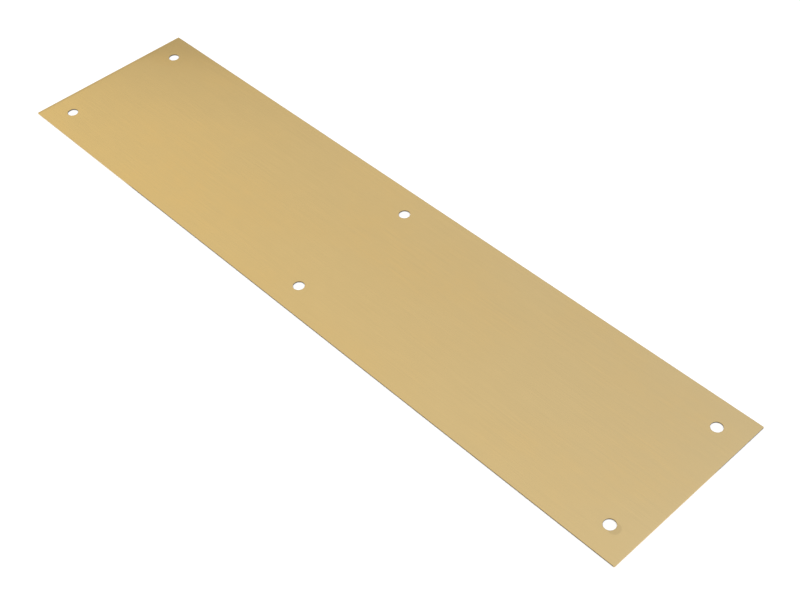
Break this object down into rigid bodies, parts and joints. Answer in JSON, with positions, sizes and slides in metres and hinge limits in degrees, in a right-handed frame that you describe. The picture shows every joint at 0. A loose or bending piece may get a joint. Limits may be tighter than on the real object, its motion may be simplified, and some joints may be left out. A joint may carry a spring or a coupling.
{
  "type": "kick plate",
  "caption": "Flat rectangular door kick plate of satin brass sheet with square corners and plain round screw holes along both long sides.",
  "frame": {"origin": "centre of the flat back face, the face that lies against the door", "axes": "+X along the plate's length, +Y across its width towards the edge that is uppermost on a door, +Z out of the front face"},
  "size_m": [0.8636, 0.2032, 0.0016],
  "materials": {
    "satin_brass": "satin, fine lengthwise grain under clear lacquer"
  },
  "bodies": {
    "root": {"kick_plate": "satin_brass"}
  },
  "joints": []
}
